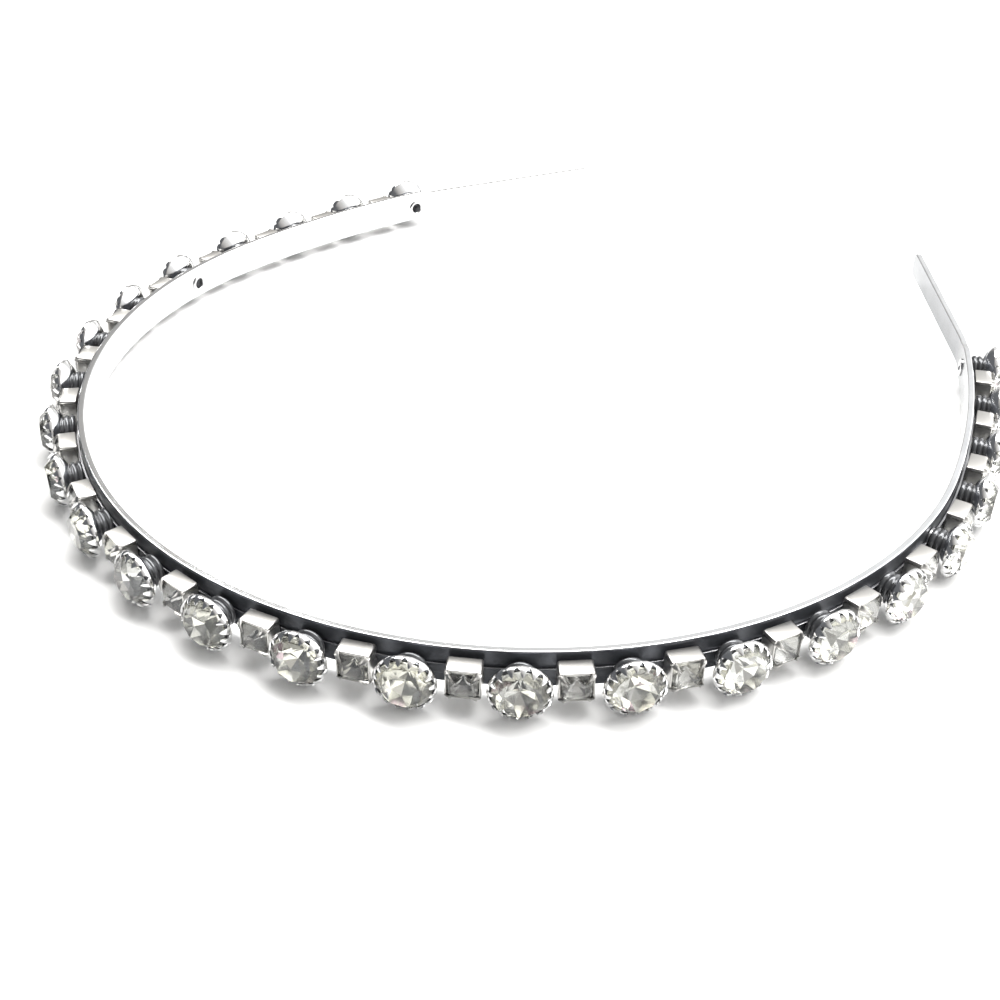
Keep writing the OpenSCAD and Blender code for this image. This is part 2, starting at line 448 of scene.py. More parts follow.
@dataclass(frozen=True)
class BandCurve:
    """The line of the band's outer face, in millimetres. Lengths run from the front's middle."""

    front_r: float = 68.0
    side_r: float = 150.0
    bend_r: float = 23.0
    front_end: float = 117.0
    side_end: float = 160.0
    bend_angle: float = math.radians(7.5)
    tail_len: float = 32.5
    row_z: float = 4.0
    step: float = 1.0
    tip_part: float = 1.0
    tip_cuts: tuple[float, ...] = (0.75, 0.5, 0.3, 0.15, 0.05, 0.0)
    front_y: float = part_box("band")[0].y / MM

    @property
    def bend_end(self) -> float:
        """Length at which the straight tail starts."""
        return self.side_end + self.bend_r * self.bend_angle

    @property
    def tip_end(self) -> float:
        """Length of one arm."""
        return self.bend_end + self.tail_len

    def heading(self, length: float) -> float:
        """Heading of the right arm, in radians.

        Args:
            length: Length from the front's middle.

        Returns:
            The heading; 0 is along +X.
        """
        front = min(length, self.front_end) / self.front_r
        side = max(0.0, min(length, self.side_end) - self.front_end) / self.side_r
        bend = max(0.0, min(length, self.bend_end) - self.side_end) / self.bend_r
        return front + side + bend

    def outward(self, angle: float) -> Vector:
        """Direction away from the head at a heading."""
        return Vector((math.sin(angle), -math.cos(angle), 0.0))

    def right_point(self, length: float) -> Vector:
        """Point of the right arm's outer face, in millimetres, before the shift to the object's frame.

        Args:
            length: Length from the front's middle.

        Returns:
            The point, on the floor.
        """
        centre = Vector((0.0, self.front_r, 0.0))
        radius = self.front_r
        for end, wider in ((self.front_end, self.side_r), (self.side_end, self.bend_r)):
            if length > end:
                centre += (radius - wider) * self.outward(self.heading(end))
                radius = wider
        angle = self.heading(length)
        past = max(0.0, length - self.bend_end)
        return centre + radius * self.outward(angle) + past * Vector((math.cos(angle), math.sin(angle), 0.0))

    def point(self, length: float, height: float) -> Vector:
        """Point of the outer face in the object's frame, in millimetres, on either arm."""
        point = self.right_point(abs(length))
        return Vector((math.copysign(point.x, length), point.y + self.front_y, height))

    def line(self) -> Piece:
        """The whole line from the left tip to the right tip as a mesh of edges, at the row's height."""
        body = self.tip_end - self.tip_part
        count = round(body / self.step)
        half = [body * k / count for k in range(1, count + 1)] + [self.tip_end - cut for cut in self.tip_cuts]
        points = [self.point(k, self.row_z) for k in [-k for k in reversed(half)] + [0.0] + half]
        return mesh_object("line", points, [], [(k, k + 1) for k in range(len(points) - 1)])


PLACING = {
    "Count": Socket.INT,
    "First": Socket.FLOAT,
    "Spacing": Socket.FLOAT,
    "Turn": Socket.FLOAT,
    "Lean": Socket.FLOAT,
    "Seed": Socket.INT,
}
DRESSING = {"Material": Socket.MATERIAL, "Foil Material": Socket.MATERIAL}


class PlaceTree(GeometryTree):
    """Puts copies of a piece along the band's line, each facing outward."""

    def __init__(self) -> None:
        """Builds the tree."""
        super().__init__("place_along_line", {"Piece": Socket.GEOMETRY, **PLACING})
        ins = self.inputs
        line = self.add("GeometryNodeMeshToCurve", {"Mesh": ins["Geometry"]}).outputs[0]
        index = self.add("GeometryNodeInputIndex").outputs[0]
        length = self.math("MULTIPLY_ADD", index, ins["Spacing"], ins["First"])
        sampled = {"Curves": line, "Length": length}
        sample = self.add("GeometryNodeSampleCurve", sampled, mode="LENGTH").outputs
        points = self.add("GeometryNodePoints", {"Count": ins["Count"], "Position": sample["Position"]})
        facing = self.add(
            "FunctionNodeAxesToRotation",
            {"Primary Axis": self.vector("CROSS_PRODUCT", sample["Tangent"], UP), "Secondary Axis": UP},
            primary_axis="Z",
            secondary_axis="Y",
        ).outputs[0]
        spin = self.chance(ins["Seed"], ins["Turn"])
        drawn = {0: (-1.0, -1.0, -1.0), 1: (1.0, 1.0, 1.0), "Seed": ins["Seed"]}
        either_way = self.add("FunctionNodeRandomValue", drawn, data_type="FLOAT_VECTOR").outputs[0]
        leaned = {0: either_way, "Scale": ins["Lean"]}
        tilt = self.add("ShaderNodeVectorMath", leaned, operation="SCALE").outputs[0]
        seated = self.rotated(facing, self.add("FunctionNodeEulerToRotation", {0: tilt}).outputs[0])
        about = self.add("FunctionNodeAxisAngleToRotation", {"Axis": UP, "Angle": spin}).outputs[0]
        placed = self.add(
            "GeometryNodeInstanceOnPoints",
            {"Points": points.outputs[0], "Instance": ins["Piece"], "Rotation": self.rotated(seated, about)},
        )
        self.finish(placed.outputs[0])

    def rotated(self, first: Output, second: Output) -> Output:
        """A rotation followed by another one in its own axes."""
        ins = {"Rotation": first, "Rotate By": second}
        return self.add("FunctionNodeRotateRotation", ins, rotation_space="LOCAL").outputs[0]


class RowTree(GeometryTree):
    """Repeats a piece along the band's line as one dressed mesh, with a random tone for each copy."""

    def __init__(self, place: PlaceTree) -> None:
        """Builds the tree.

        Args:
            place: The tree that places the copies.
        """
        super().__init__("row_of_pieces", {"Piece": Socket.OBJECT, **PLACING, **DRESSING})
        ins = self.inputs
        passed = {label: ins[label] for label in ("Geometry", *PLACING)}
        passed["Piece"] = self.object_mesh(ins["Piece"])
        placed = self.add("GeometryNodeGroup", passed, node_tree=place.tree)
        tone = self.chance(self.math("ADD", ins["Seed"], 1.0))
        self.finish(self.dressed(self.stored(placed.outputs[0], TONE, tone, "INSTANCE")))


class CrownTree(GeometryTree):
    """Sets copies of a piece in a ring about the Z axis of the host mesh."""

    def __init__(self) -> None:
        """Builds the tree."""
        outside = {"Piece": Socket.OBJECT, "Count": Socket.INT, "Start Angle": Socket.FLOAT, **DRESSING}
        super().__init__("ring_of_pieces", outside)
        ins = self.inputs
        points = self.add("GeometryNodePoints", {"Count": ins["Count"]}).outputs[0]
        share = self.math("DIVIDE", self.add("GeometryNodeInputIndex").outputs[0], ins["Count"])
        angle = self.math("MULTIPLY_ADD", share, math.tau, ins["Start Angle"])
        turn = self.add("FunctionNodeAxisAngleToRotation", {"Axis": UP, "Angle": angle}).outputs[0]
        placed = self.add(
            "GeometryNodeInstanceOnPoints",
            {"Points": points, "Instance": self.object_mesh(ins["Piece"]), "Rotation": turn},
        )
        joined = self.add("GeometryNodeJoinGeometry")
        self.feed(joined.inputs[0], placed.outputs[0])
        self.feed(joined.inputs[0], ins["Geometry"])
        self.finish(self.dressed(joined.outputs[0]))


class StripTree(GeometryTree):
    """Sweeps a section along the band's line, narrows it towards the tips and bores it at the rivets."""

    SIZES = (
        "Trim", "Narrow End", "Narrow Start", "Narrow Share", "Tip Radius", "Middle Height",
        "First", "Spacing", "Inner First", "Inner Spacing",
    )
    # A face looks out or in where its normal's share of that direction is above this.
    FLAT = 0.7
    # The painted shade on the right-hand tail's inner face ends between these distances from the tails' ends,
    # in metres, with these shares.
    SHADE_AHEAD = (0.031, 0.053)
    SHADE_SHARES = (0.72, 0.0)

    def __init__(self, place: PlaceTree) -> None:
        """Builds the tree.

        Args:
            place: The tree that places the cutters.
        """
        helpers = dict.fromkeys(("Section", "Pad", "Cutter"), Socket.OBJECT)
        super().__init__("swept_strip", {**helpers, **dict.fromkeys(self.SIZES, Socket.FLOAT), **DRESSING})
        self.place = place
        ins = self.inputs
        line = self.add("GeometryNodeMeshToCurve", {"Mesh": ins["Geometry"]}).outputs[0]
        whole = self.add("GeometryNodeCurveLength", {0: line}).outputs[0]
        ends = {4: ins["Trim"], 5: self.math("SUBTRACT", whole, ins["Trim"])}
        cut = self.add("GeometryNodeTrimCurve", {0: line, **ends}, mode="LENGTH").outputs[0]
        upright = self.add("GeometryNodeSetCurveNormal", {0: cut}, mode="Z_UP").outputs[0]
        left = self.add("GeometryNodeCurveLength", {0: upright}).outputs[0]
        along = self.add("GeometryNodeSplineParameter").outputs["Length"]
        from_tip = self.math("MINIMUM", along, self.math("SUBTRACT", left, along))
        marked = self.stored(upright, TIP, from_tip, "POINT")
        outward = self.vector("CROSS_PRODUCT", self.add("GeometryNodeInputTangent").outputs[0], UP)
        aimed = self.stored(marked, OUTWARD, outward, "POINT", "FLOAT_VECTOR")
        section = self.add("GeometryNodeMeshToCurve", {"Mesh": self.object_mesh(ins["Section"])}).outputs[0]
        parts = {"Curve": aimed, "Profile Curve": section, "Fill Caps": True}
        swept = self.add("GeometryNodeCurveToMesh", parts).outputs[0]
        self.finish(self.dressed(self.painted_shade(self.bored(self.narrowed(swept)))))

    def painted_shade(self, strip: Output) -> Output:
        """Marks painted shade on the outer faces, for the shade and dark reflections between the band and the
        settings, and on the inner face of the right-hand tail, for its dim reflection.

        Args:
            strip: The bored strip.

        Returns:
            The marked strip.
        """
        outward = self.vector("NORMALIZE", self.named(OUTWARD, "FLOAT_VECTOR"))
        normal = self.add("GeometryNodeInputNormal").outputs[0]
        facing = self.vector("DOT_PRODUCT", outward, normal, result="Value")
        # Painted shade on the right-hand tail's inner face, strongest towards its tip and gone further back.
        place = self.position()
        ahead = self.math("SUBTRACT", TAIL_Y, place["Y"])
        tail_shade = self.remap(ahead, self.SHADE_AHEAD, self.SHADE_SHARES)
        right = self.math("MULTIPLY", tail_shade, self.math("GREATER_THAN", place["X"], 0.0))
        inner = self.math("MULTIPLY", self.math("LESS_THAN", facing, -self.FLAT), right)
        # Painted shade on every outer face of the band and the strip.
        outer = self.math("GREATER_THAN", facing, self.FLAT)
        return self.stored(strip, DARK, self.math("ADD", outer, inner), "FACE")

    def narrowed(self, swept: Output) -> Output:
        """Narrows the strip in height near its tips and rounds the tips.

        Args:
            swept: The swept strip.

        Returns:
            The narrowed strip.
        """
        ins = self.inputs
        from_tip = self.named(TIP)
        share = self.remap(from_tip, (ins["Narrow End"], ins["Narrow Start"]), (ins["Narrow Share"], 1.0))
        radius = ins["Tip Radius"]
        short = self.math("SUBTRACT", 1.0, self.math("DIVIDE", from_tip, radius), clamp=True)
        level = self.math("SQRT", self.math("SUBTRACT", 1.0, self.math("POWER", short, 2.0)))
        inset = self.math("SUBTRACT", 1.0, level)
        above = self.math("SUBTRACT", self.position()["Z"], ins["Middle Height"])
        shrunk = self.math("MULTIPLY", above, self.math("SUBTRACT", share, 1.0))
        rounding = self.math("MULTIPLY", self.math("MULTIPLY", inset, radius), self.math("SIGN", above))
        drop = self.add("ShaderNodeCombineXYZ", {"Z": self.math("SUBTRACT", shrunk, rounding)}).outputs[0]
        return self.add("GeometryNodeSetPosition", {"Geometry": swept, "Offset": drop}).outputs[0]

    def bored(self, strip: Output) -> Output:
        """Adds the pads and cuts the bores at the rivets.

        Args:
            strip: The narrowed strip.

        Returns:
            The bored strip.
        """
        ins = self.inputs
        boring = self.add("GeometryNodeMeshBoolean", operation="DIFFERENCE", solver="EXACT")
        padded = self.add("GeometryNodeMeshBoolean", operation="UNION", solver="EXACT")
        self.feed(padded.inputs["Mesh 2"], strip)
        self.feed(boring.inputs["Mesh 1"], padded.outputs["Mesh"])
        for first, spacing in (("First", "Spacing"), ("Inner First", "Inner Spacing")):
            for label, boolean in (("Pad", padded), ("Cutter", boring)):
                passed = {"Geometry": ins["Geometry"], "Piece": self.object_mesh(ins[label]), "Count": 2}
                passed.update({"First": ins[first], "Spacing": ins[spacing]})
                placed = self.add("GeometryNodeGroup", passed, node_tree=self.place.tree)
                self.feed(boolean.inputs["Mesh 2"], self.realized(placed.outputs[0]))
        return boring.outputs["Mesh"]


def new_material(name: str) -> tuple[bpy.types.Material, TreeWriter, bpy.types.NodeInputs]:
    """Makes a material.

    Args:
        name: Its name.

    Returns:
        The material, the writer of its tree and the inputs of its shader.
    """
    material = bpy.data.materials.new(name)
    material.use_nodes = True
    tree = material.node_tree
    return material, TreeWriter(tree), tree.nodes["Principled BSDF"].inputs


def scaled(colour: Triple, share: float) -> Triple:
    """A colour made darker or lighter."""
    return tuple(share * c for c in colour)


@dataclass(frozen=True)
class MetalFinish:
    """Plated metal with faint tarnish in patches, uneven polish and fine scratches, and painted shade where
    its mesh is marked dark.
    """

    name: str
    bright: Triple
    dull: Triple
    polish: Pair
    # Colour, polish, spread and lost metal share of the painted shade, used where the mesh's dark mark is
    # set.
    dark: Triple = (0.2, 0.2, 0.21)
    dark_polish: float = 0.25
    dark_spread: Pair = (0.6, 1.4)
    dark_metal: float = 0.45
    # Scale, detail and roughness of the patches, and their values between which colour and polish change.
    patch: Triple = (180.0, 4.0, 0.6)
    patch_colour: Pair = (0.35, 0.65)
    patch_polish: Pair = (0.3, 0.7)
    # Scale and detail of the scratches.
    scratch: Pair = (2600.0, 2.0)
    scratch_depth: float = 0.05
    scratch_reach: float = 0.0001

    def material(self) -> bpy.types.Material:
        """Builds the material."""
        material, tree, ins = new_material(self.name)
        patches = tree.noise(*self.patch)
        colour = tree.ramp(patches, tuple(zip(self.patch_colour, (self.dull, self.bright))))
        rough = tree.remap(patches, self.patch_polish, self.polish[::-1])
        # Painted shade: where the mesh is marked dark, the colour darkens, the metal share drops and the
        # polish changes.
        shade_share = tree.mark(DARK)
        low, high = ((*scaled(self.dark, share), 1.0) for share in self.dark_spread)
        uneven = tree.mix("RGBA", patches, low, high)
        grain = tree.noise(*self.scratch)
        relief = {"Strength": self.scratch_depth, "Distance": self.scratch_reach, "Height": grain}
        lost = tree.math("MULTIPLY", shade_share, self.dark_metal)
        tree.feed(ins["Metallic"], tree.math("SUBTRACT", 1.0, lost))
        tree.feed(ins["Base Color"], tree.mix("RGBA", shade_share, colour, uneven))
        tree.feed(ins["Roughness"], tree.mix("FLOAT", shade_share, rough, self.dark_polish))
        tree.feed(ins["Normal"], tree.add("ShaderNodeBump", relief).outputs[0])
        return material


@dataclass(frozen=True)
class StoneFinish:
    """A foil-backed glass stone: clear crown in front and a mirror of foil behind."""

    name: str
    glass: Triple
    foil_tones: tuple[tuple[float, Triple], ...]
    foil_polish: float
    glass_ior: float = 1.56
    polish: float = 0.02
    # Scale and detail of the haze in the glass and of the wear on the foil.
    haze: Pair = (700.0, 3.0)
    haze_share: float = 0.94
    wear: Pair = (900.0, 3.0)
    wear_spread: Pair = (0.5, 1.5)

    def crown(self) -> bpy.types.Material:
        """Builds the glass of the crown."""
        material, tree, ins = new_material(self.name)
        ins["Transmission Weight"].default_value = 1.0
        ins["IOR"].default_value = self.glass_ior
        haze = tree.noise(*self.haze)
        hazy = scaled(self.glass, self.haze_share)
        tree.feed(ins["Base Color"], tree.ramp(haze, ((0.0, hazy), (1.0, self.glass))))
        tree.feed(ins["Roughness"], tree.remap(haze, (0.0, 1.0), (0.0, 2 * self.polish)))
        return material

    def foil(self) -> bpy.types.Material:
        """Builds the foil of the pavilion, whose tone differs from stone to stone and facet to facet."""
        material, tree, ins = new_material(self.name + "_foil")
        ins["Metallic"].default_value = 1.0
        mixed = tree.math("FRACT", tree.math("ADD", tree.mark(TONE), tree.mark(FACET)))
        wear = tree.noise(*self.wear)
        spread = [share * self.foil_polish for share in self.wear_spread]
        tree.feed(ins["Base Color"], tree.ramp(mixed, self.foil_tones, stepped=True))
        tree.feed(ins["Roughness"], tree.remap(wear, (0.0, 1.0), spread))
        return material


@dataclass(frozen=True)
class Row:
    """Equal pieces along the band's line, centred on the front, and the nodes that they stand for.

    The spacing is in millimetres. The turn and the lean are the greatest random ones, in radians.
    """

    name: str
    slot: Slot
    nodes: tuple[str, ...]
    count: int
    spacing: float = 13.0
    turn: float = 0.0
    lean: float = 0.0
    seed: int = 1


def numbered(stem: str, count: int, digits: int = 1) -> tuple[str, ...]:
    """Names of a numbered set of nodes."""
    return tuple(f"{stem}_{k:0{digits}d}" for k in range(1, count + 1))


def dressing(material: bpy.types.Material, foil: bpy.types.Material | None = None) -> dict[str, object]:
    """A tree's inputs for the two materials; without a foil the first one serves for both."""
    return {"Material": material, "Foil Material": foil or material}


def hand_over(piece: Piece, nodes: Sequence[str]) -> None:
    """Gives a finished piece to the frame and reports it.

    Args:
        piece: The piece.
        nodes: The CAD nodes that it stands for.
    """
    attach(piece, ROOT)
    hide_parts(*nodes)
    mesh = piece.data
    mesh.calc_loop_triangles()
    LOG.info("%s: %d triangles, stands for %d nodes", piece.name, len(mesh.loop_triangles), len(nodes))


@dataclass(frozen=True)
class Workshop:
    """What every sub-assembly shares: the curve and the geometry trees."""

    curve: BandCurve
    row: RowTree
    crown: CrownTree
    strip: StripTree

    def repeat(self, piece: Piece, row: Row, material: bpy.types.Material,
               foil: bpy.types.Material | None = None) -> None:
        """Repeats a piece along the band's line, and dresses and hands over the row.

        Args:
            piece: The master piece, with +Z outward and +Y up.
            row: The row.
            material: Its material.
            foil: Material of the faces marked as foil.
        """
        values = {
            "Piece": piece,
            "Count": row.count,
            "First": (self.curve.tip_end - (row.count - 1) / 2 * row.spacing) * MM,
            "Spacing": row.spacing * MM,
            "Turn": row.turn,
            "Lean": row.lean,
            "Seed": row.seed,
            **dressing(material, foil),
        }
        hand_over(run_tree(self.curve.line(), self.row, row.name, values), row.nodes)

    def ring(self, host: Piece, piece: Piece, name: str, count: int, start: float,
             material: bpy.types.Material) -> Piece:
        """Adds a ring of pieces to a host mesh.

        Args:
            host: What the ring is added to.
            piece: The repeated piece.
            name: Name of the result.
            count: Number of copies.
            start: Angle of the first copy, in radians.
            material: Their material.

        Returns:
            The host and its ring as one mesh.
        """
        values = {"Piece": piece, "Count": count, "Start Angle": start, **dressing(material)}
        return run_tree(host, self.crown, name, values)


@dataclass(frozen=True)
class RivetPlaces:
    """Where the rivets are: two pairs, the same length from the front's middle on both arms."""

    outer: float = 156.0
    inner: float = 104.0

    def inputs(self, curve: BandCurve) -> dict[str, float]:
        """The strip tree's inputs that place the rivets."""
        return {
            "First": (curve.tip_end - self.outer) * MM,
            "Spacing": 2 * self.outer * MM,
            "Inner First": (curve.tip_end - self.inner) * MM,
            "Inner Spacing": 2 * self.inner * MM,
        }


@dataclass
class SpringBand:
    """The sprung steel band and the carrier strip on its outer face."""

    shop: Workshop
    rivets: RivetPlaces
    band_metal: MetalFinish
    strip_metal: MetalFinish
    band_t: float = 1.0
    band_z: float = 1.6
    band_h: float = 5.4
    tail_h: float = 4.2
    taper_len: float = 3.0
    edge_round: float = 0.2
    tip_round: float = 0.9
    strip_t: float = 0.4
    strip_h: float = 1.4
    strip_end: float = 156.0
    strip_round: float = 0.08
    strip_tip_round: float = 0.05
    strip_taper: float = 0.001
    pad_r: float = 1.9
    gap: float = 0.05
    hole_r: float = 1.25
    hole_reach: Pair = (-3.0, 2.0)
    round_steps: int = 48
    corner_steps: int = 4
    support: float = 0.04

    def section(self, name: str, near: float, thick: float, middle: float, high: float,
                radius: float) -> Piece:
        """A flat strip's rounded section, as a closed line with support points beside its corners.

        Args:
            name: The object's name.
            near: Distance of its near face from the band's outer face.
            thick: Its thickness.
            middle: Height of its middle above the line that it follows.
            high: Its height.
            radius: Radius of its long edges.

        Returns:
            The line, with outward along X and up along -Y.
        """
        reach_x, reach_y = thick / 2 - radius, high / 2 - radius
        points: list[Vector] = []
        for corner, (side_x, side_y) in enumerate(((1, 1), (-1, 1), (-1, -1), (1, -1))):
            for step in range(self.corner_steps + 1):
                angle = (corner + step / self.corner_steps) * math.pi / 2
                outward = near + thick / 2 + side_x * reach_x + radius * math.cos(angle)
                upward = middle + side_y * reach_y + radius * math.sin(angle)
                points.append(Vector((outward, -upward, 0.0)))
        full: list[Vector] = []
        for point, after in zip(points, points[1:] + points[:1]):
            full.append(point)
            step = after - point
            share = self.support / step.length
            if share < 1 / 3:
                full += [point + step * share, after - step * share]
        return mesh_object(name, full, [], [(k, (k + 1) % len(full)) for k in range(len(full))])

    def sweep(self, name: str, section: Piece, metal: MetalFinish, share: float, sizes: dict[str, float],
              pad: dict[str, Piece]) -> Piece:
        """Sweeps a section along the band's line and bores it at the rivets.

        Args:
            name: Name of the result.
            section: The section.
            metal: Its finish.
            share: Share of its height that is left at the tips.
            sizes: The strip tree's other sizes, in millimetres.
            pad: A pad that is added at each rivet, under the name of its input, or nothing.

        Returns:
            The strip.
        """
        low, high = self.hole_reach
        bore = [(0, low), (self.hole_r, low), (self.hole_r, high), (0, high)]
        values = {
            "Section": section,
            "Cutter": turned("cutter", bore, self.round_steps),
            "Narrow Share": share,
            **{label: size * MM for label, size in sizes.items()},
            **self.rivets.inputs(self.shop.curve),
            **dressing(metal.material()),
            **pad,
        }
        return run_tree(self.shop.curve.line(), self.shop.strip, name, values, smooth_angle=SMOOTH_STRIP)

    def band(self) -> Piece:
        """The band, narrower along its tails."""
        curve = self.shop.curve
        middle = self.band_z + self.band_h / 2
        edge = self.section(
            "band_section", -self.band_t, self.band_t, middle - curve.row_z, self.band_h, self.edge_round
        )
        taper_end = curve.tip_end - curve.side_end
        sizes = {
            "Trim": 0.0,
            "Narrow End": taper_end,
            "Narrow Start": taper_end + self.taper_len,
            "Tip Radius": self.tip_round,
            "Middle Height": middle,
        }
        return self.sweep("spring_band", edge, self.band_metal, self.tail_h / self.band_h, sizes, {})

    def strip(self) -> Piece:
        """The carrier strip, with a round pad at each rivet."""
        curve = self.shop.curve
        edge = self.section("strip_section", self.gap, self.strip_t, 0.0, self.strip_h, self.strip_round)
        low, high, soft = self.gap, self.gap + self.strip_t, self.strip_round
        wide, flat = self.pad_r, self.pad_r - soft
        profile = [(0, low), (flat, low), (wide, low + soft), (wide, high - soft), (flat, high), (0, high)]
        pad = turned("pad", profile, self.round_steps)
        sizes = {
            "Trim": curve.tip_end - self.strip_end,
            "Narrow End": 0.0,
            "Narrow Start": self.strip_taper,
            "Tip Radius": self.strip_tip_round,
            "Middle Height": curve.row_z,
        }
        return self.sweep("settings_carrier", edge, self.strip_metal, 1.0, sizes, {"Pad": pad})

    def build(self) -> None:
        """Builds, dresses and hands over the band and the strip."""
        hand_over(self.band(), ["band"])
        hand_over(self.strip(), ["carrier_strip"])


@dataclass
class HollowRivets:
    """Four hollow rivets through the band and the strip."""

    shop: Workshop
    places: RivetPlaces
    metal: MetalFinish
    round_steps: int = 48
    # Radius and height of each point, from the bore over its soft funnel and the rolled flange.
    bore: tuple[Pair, ...] = ((0.9, 0.45), (0.9, -1.05), (0.93, -1.18), (1.02, -1.27))
    flange: tuple[Pair, ...] = ((1.15, -1.3), (1.35, -1.27), (1.43, -1.2), (1.45, -1.13), (1.42, -1.05))
    shank: tuple[Pair, ...] = ((1.2, -1.05), (1.2, 0.45))

    def master(self) -> Piece:
        """One rivet: its bore, a rolled flange and its shank."""
        profile = (*self.bore, *self.flange, *self.shank)
        return turned("rivet", profile, self.round_steps, ring=True, smooth_angle=SMOOTH_SOFT)

    def build(self) -> None:
        """Builds, dresses and hands over the two pairs."""
        metal = self.metal.material()
        for name, place, nodes in (
            ("rivets_at_the_ends", self.places.outer, ("rivet_1", "rivet_4")),
            ("rivets_at_the_sides", self.places.inner, ("rivet_2", "rivet_3")),
        ):
            self.shop.repeat(self.master(), Row(name, Slot.RIVET, nodes, 2, 2 * place), metal)


def tongue(name: str, bend: Bend, widths: Sequence[float], thickness: float, crown: float,
           curved: bool) -> Piece:
    """A tapering tongue of sheet metal, bent along a curve.

    Args:
        name: The object's name.
        bend: The curve of its outer face, as distance from the axis and height, in millimetres.
        widths: Half its width at even steps along the curve.
        thickness: Thickness of the sheet.
        crown: How far its middle stands proud of its edges.
        curved: Whether it also curves round the axis.

    Returns:
        The tongue, over the +X axis.
    """
    spine = bezier(bend, len(widths) - 1)
    outline = ((-1, 0.0), (0, -crown), (1, 0.0), (1, thickness), (0, thickness), (-1, thickness))
    loops: list[list[Triple]] = []
    for k, ((reach, height), width) in enumerate(zip(spine, widths)):
        before, after = spine[max(k - 1, 0)], spine[min(k + 1, len(spine) - 1)]
        along = Vector((after[0] - before[0], after[1] - before[1])).normalized()
        inward = Vector((-along.y, along.x))
        loop: list[Triple] = []
        for side, depth in outline:
            radius = reach + inward.x * depth
            rise = height + inward.y * depth
            offset = side * width
            if curved:
                angle = offset / radius
                loop.append((radius * math.cos(angle), radius * math.sin(angle), rise))
            else:
                loop.append((radius, offset, rise))
        loops.append(loop)
    return lofted(name, loops, SMOOTH_SOFT)


def faceted(name: str, points: Sequence[Triple], girdle: float, seed: int) -> Piece:
    """A cut stone: the hull of its corners, with flat facets.

    Args:
        name: The object's name.
        points: The stone's corners, in millimetres.
        girdle: Height below which a facet has foil behind it.
        seed: Seed of the tone of each facet.

    Returns:
        The stone. Its foil facets are marked, and each has a tone of its own.
    """
    stone = mesh_object(name, [], [])
    shell = bmesh.new()
    for point in points:
        shell.verts.new(Vector(point) * MM)
    bmesh.ops.convex_hull(shell, input=shell.verts)
    bmesh.ops.dissolve_limit(shell, angle_limit=ONE_FACET, verts=shell.verts, edges=shell.edges)
    bmesh.ops.recalc_face_normals(shell, faces=shell.faces)
    foil = shell.faces.layers.bool.new(FOIL)
    tone = shell.faces.layers.float.new(FACET)
    draws = random.Random(seed)
    centres = {face: face.calc_center_median() / MM for face in shell.faces}
    order = sorted(shell.faces, key=lambda face: tuple(round(centres[face][axis], 3) for axis in (2, 1, 0)))
    for face in order:
        face[foil] = centres[face].z < girdle and face.normal.z < BACKWARD
        face[tone] = draws.random()
    shell.to_mesh(stone.data)
    shell.free()
    return stone


def ring_points(count: int, radius: float, height: float, start: float) -> list[Triple]:
    """Points of a regular ring.

    Args:
        count: Number of points.
        radius: Its radius.
        height: Its height.
        start: Angle of the first point, in steps.

    Returns:
        The points.
    """
    angles = [math.tau * (k + start) / count for k in range(count)]
    return [(radius * math.cos(a), radius * math.sin(a), height) for a in angles]


